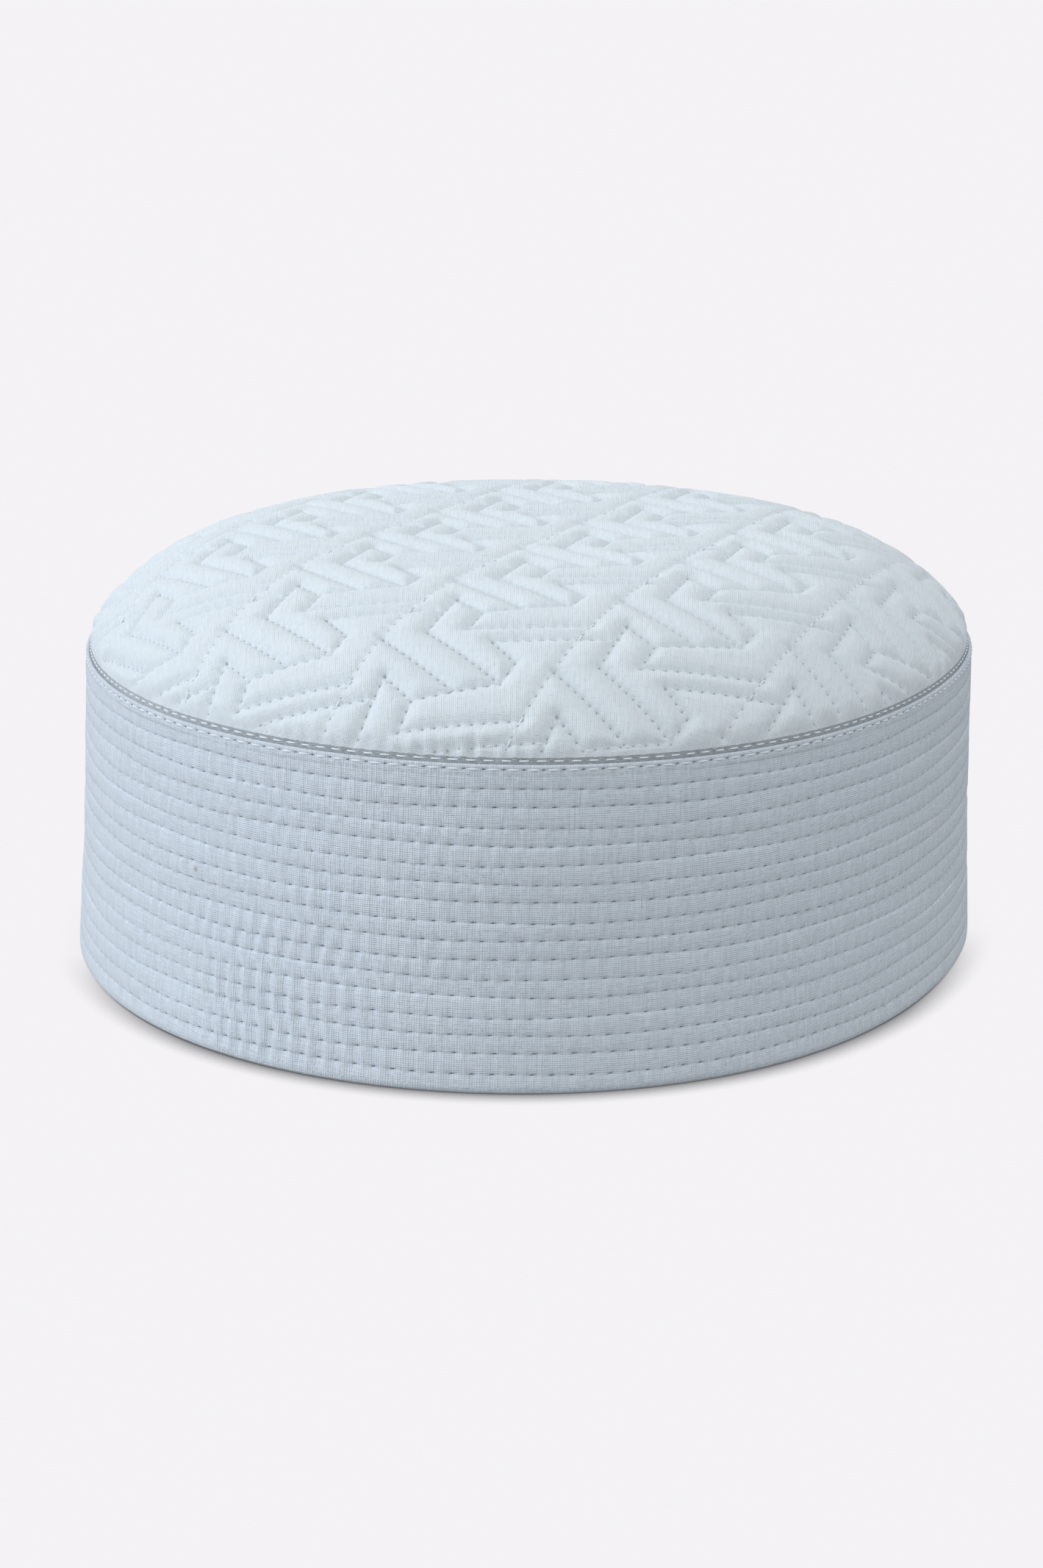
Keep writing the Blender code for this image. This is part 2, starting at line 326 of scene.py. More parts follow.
# The camera, fitted to the cap's outline in the photo, in the photo's own directions.
PHOTO_TURN = QUILT_TURN
PHOTO_WIDTH = 1419
FOCAL_PIXELS = 5212
CAMERA_PITCH = math.radians(14.5)
CAMERA_ROLL = -0.018
CAMERA_DISTANCE = 0.765
CAMERA_TARGET = (-0.0014, 0.0, 0.0297)
CAMERA_NEAREST = 0.01
CAMERA_FURTHEST = 50.0
SENSOR_WIDTH = 36.0

# Floor and light. Directions are the photo's own: +X to its right, +Y away from the camera, +Z up.
FLOOR_REACH = 12.0
FLOOR_DROP = 0.0001
FLOOR_ROUGHNESS = 0.9
FLOOR_COLOUR = (0.904, 0.888, 0.913)
SHADOW_COLOUR = (0.14, 0.14, 0.15)
SHADOW_REACH = 0.006
SHADOW_SAMPLES = 8
SHADOW_SIDE = math.radians(-81)
SHADOW_TURNS = (0.1, 0.7)
SHADOW_STRENGTHS = (0.08, 1.7)
SUN_STRENGTH = 1.05
SUN_BREADTH = math.radians(25)
SUN_COLOUR = (0.92, 0.98, 1.08)
SUN_DIRECTION = math.radians(185)
SUN_RISE = math.radians(16)
ROOM_LEVEL = 0.66
ROOM_TILT = (-0.11, -0.03, 0.51)

MEAN_RADIUS = (CAP_BREADTH + CAP_LENGTH) / 4
OVAL_SHARE = (CAP_LENGTH - CAP_BREADTH) / (CAP_LENGTH + CAP_BREADTH)
BAND_COLUMNS = BAND_STITCHES * COLUMNS_PER_STITCH
CROWN_COLUMNS = RIM_STITCHES * COLUMNS_PER_STITCH


def wave_noise(place, seed, waves=NOISE_WAVES):
    """Smooth, repeatable noise over an angle, mostly from -1 to 1."""
    total = np.zeros_like(np.asarray(place, float))
    for number, wave in enumerate(waves):
        turned = wave * place + NOISE_SEED_TURN * seed * (number + 1) + NOISE_WAVE_TURN * number
        total = total + np.sin(turned) / (number + NOISE_FIRST_DIVISOR)
    return total / NOISE_REACH


def plan_factor(angle):
    """How far the plan lies outside its mean circle in a direction, as a factor."""
    factor = 1 - OVAL_SHARE * np.cos(2 * angle)
    for waves, share, direction in PLAN_LOBES:
        factor = factor + share * np.cos(waves * (angle - direction))
    return factor


def to_plan(radius, angle, height):
    """Points of the turned form, brought to the oval plan."""
    radius = radius * plan_factor(angle)
    across = radius * np.cos(angle) - CAP_CENTRE[0]
    along = radius * np.sin(angle) - CAP_CENTRE[1]
    return np.stack([across, along, height + 0 * across], -1)


def taper(height):
    """The band's outer radius at a height."""
    heights = [share * BAND_HEIGHT for share, _ in BAND_TAPER]
    radii = [MEAN_RADIUS * radius for _, radius in BAND_TAPER]
    return np.interp(height, heights, radii)


def turned_away(angle, direction):
    """The angle between two directions, from -pi to pi."""
    return (angle - direction + np.pi) % (2 * np.pi) - np.pi


def make_mesh(name, points, faces, material, uv=None, hole=None):
    """A smooth mesh object, with a UV pair for each face corner and a mark on each needle hole for its
    painted shade.
    """
    mesh = bpy.data.meshes.new(name)
    mesh.from_pydata(points.tolist(), [], faces if isinstance(faces, list) else faces.tolist())
    if uv is not None:
        layer = mesh.uv_layers.new(name="cloth")
        layer.data.foreach_set("uv", np.asarray(uv, np.float32).ravel())
    if hole is not None:
        mark = mesh.attributes.new("hole", "FLOAT", "POINT")
        mark.data.foreach_set("value", np.asarray(hole, np.float32))
    mesh.shade_smooth()
    mesh.materials.append(material)
    made = bpy.data.objects.new(name, mesh)
    bpy.context.scene.collection.objects.link(made)
    return made


def row_height(row, angle):
    """The height of a stitched row, which wanders a little round the cap."""
    span = BAND_HEIGHT - FIRST_ROW_HEIGHT - LAST_ROW_BELOW_TOP
    level = FIRST_ROW_HEIGHT + span * row / (ROW_COUNT - 1)
    return level + ROW_WANDER * wave_noise(angle, row + 1)


def row_phase(row):
    """How far a row's stitches are shifted, in stitches: least in the low rows, which line up."""
    reach = min(1, ROW_SHIFT_LOWEST + row / ROW_SHIFT_ROWS)
    return reach * sum(size * math.sin(turn * row + start) for size, turn, start in ROW_SHIFT_WAVES)


def band_pucker(angle, height):
    """The depth of the puckers that run from row to row at a place on the band."""
    depth = 0 * angle
    for direction, spread, level, reach, most in BAND_PUCKERS:
        away = turned_away(angle, direction) / spread
        lift = (height - level) / reach
        depth = depth + most * np.exp(-away * away - lift * lift)
    uneven = wave_noise(angle, PUCKER_SEED * float(np.mean(height)), PUCKER_WAVES)
    return depth * (1 + PUCKER_UNEVENNESS * uneven)


def band_levels():
    """The band's outer levels from foot to top: row below, and share of the way to the next row."""
    levels = [(-1, share) for share in HEM_SHARES]
    for row in range(ROW_COUNT):
        levels.append((row, 0.0))
        levels.extend((row, share) for share in RIB_SHARES)
    return levels


def level_height(row, share, angle):
    """The height of a level, which follows the wandering rows that it lies between."""
    low = 0 * angle if row < 0 else row_height(row, angle)
    fold_start = BAND_HEIGHT - TOP_FOLD[0][0]
    high = row_height(row + 1, angle) if row + 1 < ROW_COUNT else fold_start + 0 * angle
    return low + (high - low) * share


def nearness_to_row(row, share):
    """How near a level is to the stitched row beside it: 1 on the row, 0 halfway to the next."""
    if row < 0:
        return max(2 * share - 1, 0)
    if row == ROW_COUNT - 1:
        return max(1 - 2 * share, 0)
    return abs(2 * share - 1)


def band_surface(row, share, turn):
    """Points of the band's outer face at a level, for turns counted in stitches."""
    phase = row_phase(row) * (1 - share) + row_phase(row + 1) * share
    angle = 2 * np.pi * (turn + phase) / BAND_STITCHES
    height = level_height(row, share, angle)
    near = nearness_to_row(row, share)
    radius = taper(height) - ROW_DEPTH * near ** RIB_FLATNESS
    pillow = 1 - 2 * np.abs(np.cos(np.pi * turn)) ** PILLOW_POWER
    pucker = band_pucker(angle, height) * (PUCKER_BETWEEN_ROWS + (1 - PUCKER_BETWEEN_ROWS) * near)
    pinch = PINCH_DEPTH * near ** PINCH_POWER + pucker
    radius = radius + pinch * pillow
    if share == 0.0:
        radius = radius - BAND_HOLE_DEPTH * needle_holes(turn)
    buckle = BUCKLE_DEPTH * wave_noise(angle, BUCKLE_SEED_STEP * row + BUCKLE_SEED, BUCKLE_WAVES)
    radius = radius + buckle * min(1, max(0, (row + share) / BUCKLE_FROM_ROW))
    return to_plan(radius, angle, height), angle, height


def needle_holes(turn):
    """One at a needle hole and nothing between, for turns counted in stitches."""
    return (np.abs(turn - np.round(turn)) < 0.5 / COLUMNS_PER_STITCH).astype(float)


def ring_quads(ring, above, columns):
    """The quads that join one ring of points to the ring after it."""
    column = np.arange(columns)
    after = (column + 1) % columns
    return np.stack([ring + column, ring + after, above + after, above + column], -1)


def ring_uv(pitch, columns, low, high, low_shift=0.0, high_shift=0.0):
    """The cloth's UV pairs for one ring of quads, whose lower and upper points may be shifted round."""
    left = np.arange(columns) * pitch
    low_left = left + low_shift
    high_left = left + high_shift
    low = low + 0 * left
    high = high + 0 * left
    corners = [low_left, low, low_left + pitch, low, high_left + pitch, high, high_left, high]
    return np.stack(corners, -1).reshape(-1, 2)


def band_rings():
    """The band's rings, up the outside and down the inside, with the cloth's reach, the marks for painted
    shade in its needle holes, and shift.
    """
    turn = np.arange(BAND_COLUMNS) / COLUMNS_PER_STITCH
    holes = needle_holes(turn)
    rings = []
    reach = []
    marks = []
    shifts = []
    for row, share in band_levels():
        points, angle, height = band_surface(row, share, turn)
        rings.append(points)
        shifts.append(float(angle[0]) * MEAN_RADIUS)
        reach.append(float(np.mean(height)))
        marks.append(holes * (share == 0.0))
    angle = 2 * np.pi * (turn + row_phase(ROW_COUNT)) / BAND_STITCHES
    face = taper(BAND_HEIGHT)
    for below, proud in TOP_FOLD:
        stitched = below == TOPSTITCH_BELOW_TOP
        mark = TOPSTITCH_HOLE_SHARE * holes * stitched
        dent = BAND_HOLE_DEPTH * mark
        rings.append(to_plan(face + proud - dent, angle, BAND_HEIGHT - below))
        reach.append(reach[-1] + FOLD_CLOTH_STEP)
        marks.append(mark)
    for height in BAND_INNER_HEIGHTS:
        wrinkle = INNER_WRINKLE * wave_noise(angle, height * INNER_WRINKLE_SEED, INNER_WRINKLE_WAVES)
        rings.append(to_plan(taper(height) - BAND_WALL + wrinkle, angle, height + 0 * angle))
        reach.append(reach[-1] + INNER_CLOTH_STEP)
    edge = (BAND_WALL - BAND_FOOT_FLAT) / 2
    foot = (
        # inward of the outer face, height
        (BAND_WALL - edge, 0.0),
        (edge, 0.0),
        (FOOT_EDGE_INWARD, FOOT_EDGE_HEIGHT),
    )
    for inward, height in foot:
        rings.append(to_plan(taper(0) - inward, angle, height + 0 * angle))
        reach.append(reach[-1] + FOOT_CLOTH_STEP)
    marks.extend([0 * holes] * (len(rings) - len(marks)))
    shifts.extend([float(angle[0]) * MEAN_RADIUS] * (len(rings) - len(shifts)))
    return rings, reach, marks, shifts


def make_band(material):
    """The band: ribbed outer face, folded top edge, plain inside and a flat foot, as one closed tube."""
    rings, reach, marks, shifts = band_rings()
    pitch = 2 * np.pi * MEAN_RADIUS / BAND_COLUMNS
    faces = []
    uv = []
    for ring in range(len(rings)):
        above = (ring + 1) % len(rings)
        faces.append(ring_quads(ring * BAND_COLUMNS, above * BAND_COLUMNS, BAND_COLUMNS))
        top = reach[above] if above else reach[ring] + LAST_CLOTH_STEP
        uv.append(ring_uv(pitch, BAND_COLUMNS, reach[ring], top, shifts[ring], shifts[above]))
    faces, uv, marks = np.concatenate(faces), np.concatenate(uv), np.concatenate(marks)
    return make_mesh("band_cloth", np.concatenate(rings), faces, material, uv, marks)


def thread_mesh(name, starts, ends, normals, radius, material):
    """Many short stitches as one mesh: each a low arch of thread that dips into the cloth at its ends."""
    along = ends - starts
    length = np.linalg.norm(along, axis=1, keepdims=True)
    along = along / length
    side = np.cross(normals, along)
    side = side / np.linalg.norm(side, axis=1, keepdims=True)
    lift = np.cross(along, side)
    points = []
    for ring in range(THREAD_RINGS):
        share = ring / (THREAD_RINGS - 1)
        arch = math.sin(math.pi * share)
        middle = starts + along * length * share + lift * radius * (THREAD_ARCH * arch - THREAD_SINK)
        thick = radius * (THREAD_END_SHARE + THREAD_ARCH_SHARE * arch)
        for corner in range(THREAD_SIDES):
            turn = 2 * math.pi * corner / THREAD_SIDES
            raised = lift * thick * math.sin(turn) * THREAD_FLATNESS
            points.append(middle + side * thick * math.cos(turn) + raised)
    points = np.stack(points, 1)
    count = len(starts)
    each = THREAD_RINGS * THREAD_SIDES
    faces = []
    base = np.arange(count)[:, None] * each
    for ring in range(THREAD_RINGS - 1):
        low = ring * THREAD_SIDES
        high = low + THREAD_SIDES
        for corner in range(THREAD_SIDES):
            after = (corner + 1) % THREAD_SIDES
            quad = [low + corner, low + after, high + after, high + corner]
            faces.append(base + np.array(quad)[None, :])
    faces = np.concatenate(faces).tolist()
    start_cap = list(reversed(range(THREAD_SIDES)))
    end_cap = list(range(each - THREAD_SIDES, each))
    for stitch in range(count):
        for cap in (start_cap, end_cap):
            faces.append([stitch * each + corner for corner in cap])
    return make_mesh(name, points.reshape(-1, 3), faces, material)


def band_stitches(material):
    """The thread of the band's rows and of its folded edge."""
    starts = []
    ends = []
    outward = []
    turn = np.arange(BAND_STITCHES, dtype=float)
    margin = (1 - THREAD_SHARE) / 2
    for row in range(ROW_COUNT):
        first, angle, _ = band_surface(row, 0.0, turn + margin)
        last, _, _ = band_surface(row, 0.0, turn + 1 - margin)
        starts.append(first)
        ends.append(last)
        outward.append(np.stack([np.cos(angle), np.sin(angle), 0 * angle], -1))
    angle = 2 * np.pi * (turn + row_phase(ROW_COUNT)) / BAND_STITCHES
    first, last = ring_stitches(taper(BAND_HEIGHT), BAND_HEIGHT - TOPSTITCH_BELOW_TOP, angle, BAND_STITCHES)
    starts.append(first)
    ends.append(last)
    outward.append(np.stack([np.cos(angle), np.sin(angle), 0 * angle], -1))
    starts, ends, outward = np.concatenate(starts), np.concatenate(ends), np.concatenate(outward)
    return thread_mesh("band_thread", starts, ends, outward, THREAD_RADIUS, material)


def ring_stitches(radius, height, angle, count):
    """Both ends of the thread that shows in each stitch of a level ring of stitches."""
    margin = (1 - THREAD_SHARE) / 2
    pitch = 2 * np.pi / count
    first = to_plan(radius, angle + margin * pitch, height)
    last = to_plan(radius, angle + (1 - margin) * pitch, height)
    return first, last


def dome_profile():
    """The dome's profile from apex to seam, as arrays of arc length, radius and height."""
    turn = np.linspace(np.pi / 2, 0, DOME_PROFILE_POINTS)
    reach = taper(BAND_HEIGHT) - SHOULDER_STAND_OFF
    radius = reach * np.clip(np.cos(turn), 0, 1) ** (2 / SHOULDER_POWER)
    radius[0] = 0.0
    height = BAND_HEIGHT + BAND_WALL / 2 + CROWN_RISE * np.sin(turn) ** (2 / TOP_POWER)
    arc = np.concatenate([[0], np.cumsum(np.hypot(np.diff(radius), np.diff(height)))])
    return arc, radius, height


DOME_ARC, DOME_RADIUS, DOME_HEIGHT = dome_profile()
DOME_LIMIT = float(DOME_ARC[-1])


def dome_direction(arc):
    """The dome's outward normal at an arc length, as its radial and upward parts."""
    reach = DOME_LIMIT / DOME_NORMAL_SPANS
    run = np.interp(arc + reach, DOME_ARC, DOME_RADIUS) - np.interp(arc - reach, DOME_ARC, DOME_RADIUS)
    fall = np.interp(arc + reach, DOME_ARC, DOME_HEIGHT) - np.interp(arc - reach, DOME_ARC, DOME_HEIGHT)
    length = np.hypot(run, fall)
    return -fall / length, run / length


def share_of_plan(x, y):
    """The distance of a place on the cloth from its middle, brought from the oval to the mean circle."""
    return np.hypot(x, y) / plan_factor(np.arctan2(y, x) + QUILT_TURN)


def on_dome(x, y, rise):
    """Lift places on the flat cloth onto the dome, standing out from it by rise."""
    arc = share_of_plan(x, y)
    angle = np.arctan2(y, x) + QUILT_TURN
    out, up = dome_direction(arc)
    radius = np.interp(arc, DOME_ARC, DOME_RADIUS) + rise * out
    height = np.interp(arc, DOME_ARC, DOME_HEIGHT) + rise * up
    return to_plan(np.maximum(radius, 0), angle, height)


def lattice_steps():
    """The lattice's two steps as vectors on the flat cloth."""
    across = np.array([math.cos(STEP_ACROSS_TILT), math.sin(STEP_ACROSS_TILT)]) * STEP_ACROSS
    up = np.array([math.cos(STEP_UP_TILT), math.sin(STEP_UP_TILT)]) * STEP_UP
    return across, up


def lattice_to_cloth(i, j):
    """The places on the pulled cloth of lattice points."""
    across, up = lattice_steps()
    x = QUILT_ORIGIN[0] + across[0] * i + up[0] * j
    y = QUILT_ORIGIN[1] + across[1] * i + up[1] * j
    return x - x * y / NARROWING_LENGTH, y + (x - BOW_CENTRE) ** 2 / BOW_LENGTH


def seam_pull(i, j):
    """For lattice places: the distance to the nearest seam, and how full the padding stands there."""
    half_strip = STEP_UP * math.sin(STEP_UP_TILT - STEP_ACROSS_TILT) / 2
    across, up = lattice_steps()
    cell = np.floor(i / REPEAT_RIGHT[0])
    i = i - cell * REPEAT_RIGHT[0]
    j = j - cell * REPEAT_RIGHT[1]
    j = j - np.floor(j / REPEAT_UP[1]) * REPEAT_UP[1]
    nearest = np.full_like(i, STEP_ACROSS)
    fullest = np.ones_like(i)
    for right in NEAR_REPEATS_RIGHT:
        for rise in NEAR_REPEATS_UP:
            shift_i = right * REPEAT_RIGHT[0]
            shift_j = right * REPEAT_RIGHT[1] + rise * REPEAT_UP[1]
            for start, end, pull in SEAMS:
                from_i = start[0] + shift_i - i
                from_j = start[1] + shift_j - j
                run = across * (end[0] - start[0]) + up * (end[1] - start[1])
                x = across[0] * from_i + up[0] * from_j
                y = across[1] * from_i + up[1] * from_j
                share = np.clip(-(x * run[0] + y * run[1]) / (run @ run), 0, 1)
                distance = np.hypot(x + share * run[0], y + share * run[1])
                nearest = np.minimum(nearest, distance)
                away = np.minimum(distance / half_strip, 1)
                full = (away * (2 - away)) ** PUFF_POWER
                fullest = np.minimum(fullest, 1 - pull * (1 - full))
    return nearest, fullest


def quilting_stitches():
    """Both ends of every stitch of every quilting seam on the crown, in lattice steps."""
    across, up = lattice_steps()
    many = math.ceil(LATTICE_REACH * DOME_LIMIT / (REPEAT_RIGHT[0] * STEP_ACROSS))
    starts = []
    ends = []
    for start, end, _ in SEAMS:
        first = np.array(start, float)
        run = np.array(end, float) - first
        count = max(1, round(float(np.hypot(*(across * run[0] + up * run[1]))) / QUILT_STITCH))
        starts.extend(first + run * stitch / count for stitch in range(count))
        ends.extend(first + run * (stitch + 1) / count for stitch in range(count))
    right, rise = np.meshgrid(np.arange(-many, many + 1), np.arange(-2 * many, 2 * many + 1))
    shift_i = right.ravel() * REPEAT_RIGHT[0] + rise.ravel() * REPEAT_UP[0]
    shift_j = right.ravel() * REPEAT_RIGHT[1] + rise.ravel() * REPEAT_UP[1]
    shift = np.stack([shift_i, shift_j], -1)[:, None, :]
    starts = (shift + np.array(starts)[None]).reshape(-1, 2)
    ends = (shift + np.array(ends)[None]).reshape(-1, 2)
    x, y = lattice_to_cloth(*((starts + ends) / 2).T)
    near = share_of_plan(x, y) < DOME_LIMIT
    return starts[near], ends[near]


def padding(x, y, full):
    """How far the padded cloth stands out, by how full it is there; some strips are fatter."""
    along = wave_noise(x * FATNESS_TURN_ALONG, 2)
    across = wave_noise(y * FATNESS_TURN_ACROSS, 4)
    fatness = 1 + FATNESS_CHANGE * along * across
    return QUILT_PUFF * fatness * full


def rim_gathers(angle):
    """The gathers of the crown's cloth along its rim, deepest where the fullness is caught."""
    away = turned_away(angle, RIM_GATHER_DIRECTION) / RIM_GATHER_SPREAD
    uneven = RIM_GATHER_LEVEL + RIM_GATHER_CHANGE * wave_noise(angle, RIM_GATHER_SEED, CROWN_WAVES)
    depth = RIM_GATHER_DEPTH * (uneven + RIM_GATHER_PEAK * np.exp(-away * away))
    return depth * np.cos(RIM_STITCHES * angle)


def rim_tucks(x, y):
    """How far the small tucks at the rim sink the cloth."""
    sunk = 0 * x
    inside = DOME_LIMIT - share_of_plan(x, y)
    angle = np.arctan2(y, x) + QUILT_TURN
    for direction, lean, length, depth in RIM_TUCKS:
        aside = turned_away(angle, direction) * MEAN_RADIUS - lean * inside
        sunk = sunk + depth * np.exp(-((aside / TUCK_WIDTH) ** 2)) * np.clip(1 - inside / length, 0, 1)
    return sunk


def crown_rise(x, y, rise):
    """The rise of a place on the crown, faded toward the rim, with its gathers and tucks."""
    inside = DOME_LIMIT - share_of_plan(x, y)
    angle = np.arctan2(y, x) + QUILT_TURN
    rise = rise * np.clip(inside / RIM_FADE, 0, 1) ** RIM_FADE_POWER
    gather = rim_gathers(angle) * np.exp(-((inside / RIM_GATHER_REACH) ** 2))
    return rise + gather - rim_tucks(x, y)


def seam_bottom(place):
    """How far the cloth stands out at places on the seams themselves."""
    return padding(*lattice_to_cloth(*place.T), seam_pull(*place.T)[1])


def seam_samples():
    """Points along the bottom of every seam: places on the cloth, rise and needle holes."""
    starts, ends = quilting_stitches()
    across, up = lattice_steps()
    to_steps = np.linalg.inv(np.stack([across, up], -1))
    run = (ends - starts) @ np.stack([across, up])
    normal = np.stack([-run[:, 1], run[:, 0]], -1) / np.linalg.norm(run, axis=1, keepdims=True)
    aside = SIDE_OFFSET * normal @ to_steps.T
    groups = []
    for part in range(PARTS_PER_STITCH):
        phase = part / PARTS_PER_STITCH
        place = starts + (ends - starts) * phase
        arch = SEAM_ARCH * math.sin(math.pi * phase) ** 2 - QUILT_HOLE_DEPTH * (part == 0)
        groups.append((place, seam_bottom(place) + arch, np.full(len(place), float(part == 0))))
    groups.append((ends, seam_bottom(ends) - QUILT_HOLE_DEPTH, np.ones(len(ends))))
    for part in range(PARTS_PER_STITCH):
        phase = (part + 0.5) / PARTS_PER_STITCH
        for side in (-1, 1):
            place = starts + (ends - starts) * phase + side * aside
            distance, full = seam_pull(*place.T)
            clear = distance > SIDE_CLEARANCE
            place = place[clear]
            rise = padding(*lattice_to_cloth(*place.T), full[clear])
            rise = rise - SIDE_PUCKER * math.cos(2 * math.pi * phase)
            groups.append((place, rise, 0 * rise))
    places, rises, holes = (np.concatenate(group) for group in zip(*groups))
    x, y = lattice_to_cloth(places[:, 0], places[:, 1])
    return x, y, rises, holes


def lattice_samples():
    """Points between the seams: places on the cloth and rise."""
    reach = math.ceil(LATTICE_REACH * DOME_LIMIT / min(STEP_ACROSS, STEP_UP)) * QUILT_SAMPLES
    steps = np.arange(-reach, reach + 1) / QUILT_SAMPLES
    i, j = np.meshgrid(steps, steps)
    x, y = lattice_to_cloth(i, j)
    near = share_of_plan(x, y) < DOME_LIMIT
    i, j, x, y = i[near], j[near], x[near], y[near]
    distance, full = seam_pull(i, j)
    clear = distance > LATTICE_CLEARANCE
    x, y, full = x[clear], y[clear], full[clear]
    rise = padding(x, y, full)
    return x, y, rise, 0 * rise


def crown_samples():
    """Every point of the quilted face, none closer together than a fine grid allows."""
    x, y, rise, hole = (np.concatenate(both) for both in zip(seam_samples(), lattice_samples()))
    inside = share_of_plan(x, y) < DOME_LIMIT - SIDE_OFFSET
    x, y, rise, hole = x[inside], y[inside], rise[inside], hole[inside]
    cells = np.round(np.stack([x, y], -1) / CLOSEST_POINTS).astype(int)
    _, first = np.unique(cells, axis=0, return_index=True)
    first = np.sort(first)
    return x[first], y[first], rise[first], hole[first]


def crown_edge_rings(angle):
    """The rings below the quilted face: the stitched edge, the tuck inside the band and the backing."""
    shoulder = DOME_RADIUS[-1]
    rim = taper(BAND_HEIGHT) - BAND_WALL - SEAM_GAP
    holes = needle_holes(angle * RIM_STITCHES / (2 * np.pi))
    rings = []
    marks = []
    for over, inward, share in CROWN_EDGE:
        stitched = over == CROWN_EDGE[0][0]
        radius = shoulder - inward + share * rim_gathers(angle) - RIM_HOLE_DEPTH * holes * stitched
        rings.append(to_plan(radius, angle, BAND_HEIGHT + over))
        marks.append(RIM_HOLE_MARK * holes * stitched)
    inner = rim - QUILT_WALL
    for radius, depths in ((rim, EDGE_DEPTHS), (inner, BACKING_DEPTHS)):
        for below in depths:
            rings.append(to_plan(radius, angle, BAND_HEIGHT - below + 0 * angle))
    for step in range(INNER_RINGS):
        arc = DOME_LIMIT * (1 - (step + INNER_RING_START) / (INNER_RINGS + INNER_RING_START))
        out, up = dome_direction(arc)
        radius = min(float(np.interp(arc, DOME_ARC, DOME_RADIUS) - QUILT_WALL * out), inner)
        height = float(np.interp(arc, DOME_ARC, DOME_HEIGHT) - QUILT_WALL * up)
        sag = BACKING_SAG * wave_noise(angle, step, CROWN_WAVES) * (1 - step / INNER_RINGS)
        rings.append(to_plan(radius, angle, height + sag))
    marks.extend([0 * holes] * (len(rings) - len(marks)))
    return rings, marks


def make_crown(material):
    """The crown: quilted outside on its seams, an edge tucked inside the band, a plain backing."""
    x, y, rise, hole = crown_samples()
    angle = 2 * np.pi * np.arange(CROWN_COLUMNS) / CROWN_COLUMNS
    edge = DOME_LIMIT * plan_factor(angle)
    flat_x = np.concatenate([x, edge * np.cos(angle - QUILT_TURN)])
    flat_y = np.concatenate([y, edge * np.sin(angle - QUILT_TURN)])
    rise = np.concatenate([rise, np.zeros(CROWN_COLUMNS)])
    hole = np.concatenate([hole, np.zeros(CROWN_COLUMNS)])
    flat = [Vector(place) for place in np.stack([flat_x, flat_y], -1)]
    places, _, faces, _, _, _ = delaunay_2d_cdt(flat, [], [], 0, JOIN_TOLERANCE)
    assert len(places) == len(flat), "the crown's samples moved while they were joined"
    face = on_dome(flat_x, flat_y, crown_rise(flat_x, flat_y, rise))
    faces = np.array(faces)
    corner, left, right = (face[faces[:, number]] for number in range(3))
    if np.cross(left - corner, right - corner)[:, 2].mean() < 0:
        faces = faces[:, ::-1]
    uv = [np.stack([flat_x[faces], flat_y[faces]], -1).reshape(-1, 2)]
    faces = faces.tolist()
    rings, marks = crown_edge_rings(angle)
    pitch = 2 * np.pi * MEAN_RADIUS / CROWN_COLUMNS
    ring = len(x)
    for number in range(len(rings)):
        below = len(flat) + number * CROWN_COLUMNS
        faces.extend(ring_quads(below, ring, CROWN_COLUMNS).tolist())
        high = EDGE_CLOTH_START + EDGE_CLOTH_STEP * number
        uv.append(ring_uv(pitch, CROWN_COLUMNS, high + EDGE_CLOTH_STEP, high))
        ring = below
    apex = len(flat) + len(rings) * CROWN_COLUMNS
    for column in range(CROWN_COLUMNS):
        faces.append([ring + column, apex, ring + (column + 1) % CROWN_COLUMNS])
    uv.append(np.tile(APEX_CLOTH, (CROWN_COLUMNS, 1)))
    middle = on_dome(np.zeros(1), np.zeros(1), np.array([-QUILT_WALL]))
    points = np.concatenate([face, *rings, middle])
    hole = np.concatenate([hole, *marks, np.zeros(1)])
    return make_mesh("crown_quilt", points, faces, material, np.concatenate(uv), hole)


def crown_stitches(material):
    """The quilting's thread, and the thread of the row of stitches at the rim."""
    starts, ends = quilting_stitches()
    margin = (1 - THREAD_SHARE) / 2
    run = ends - starts
    first_x, first_y = lattice_to_cloth(*(starts + run * margin).T)
    last_x, last_y = lattice_to_cloth(*(ends - run * margin).T)
    furthest = np.maximum(share_of_plan(first_x, first_y), share_of_plan(last_x, last_y))
    keep = furthest < DOME_LIMIT - 2 * SIDE_OFFSET
    first_x, first_y, last_x, last_y = first_x[keep], first_y[keep], last_x[keep], last_y[keep]
    first_rise = seam_bottom(starts + run * margin)[keep]
    last_rise = seam_bottom(ends - run * margin)[keep]
    first = on_dome(first_x, first_y, crown_rise(first_x, first_y, first_rise))
    last = on_dome(last_x, last_y, crown_rise(last_x, last_y, last_rise))
    angle = np.arctan2(first_y, first_x) + QUILT_TURN
    out, up = dome_direction(share_of_plan(first_x, first_y))
    outward = np.stack([out * np.cos(angle), out * np.sin(angle), up], -1)
    over, inward, _ = CROWN_EDGE[0]
    turn = 2 * np.pi * np.arange(RIM_STITCHES) / RIM_STITCHES
    rim_first, rim_last = ring_stitches(DOME_RADIUS[-1] - inward, BAND_HEIGHT + over, turn, RIM_STITCHES)
    rim_outward = np.stack([np.cos(turn), np.sin(turn), 0 * turn], -1)
    starts = np.concatenate([first, rim_first])
    ends = np.concatenate([last, rim_last])
    outward = np.concatenate([outward, rim_outward])
    return thread_mesh("crown_thread", starts, ends, outward, CROWN_THREAD_RADIUS, material)


def link(tree, start, output, end, socket):
    """Join two shader nodes."""
    tree.links.new(start.outputs[output], end.inputs[socket])


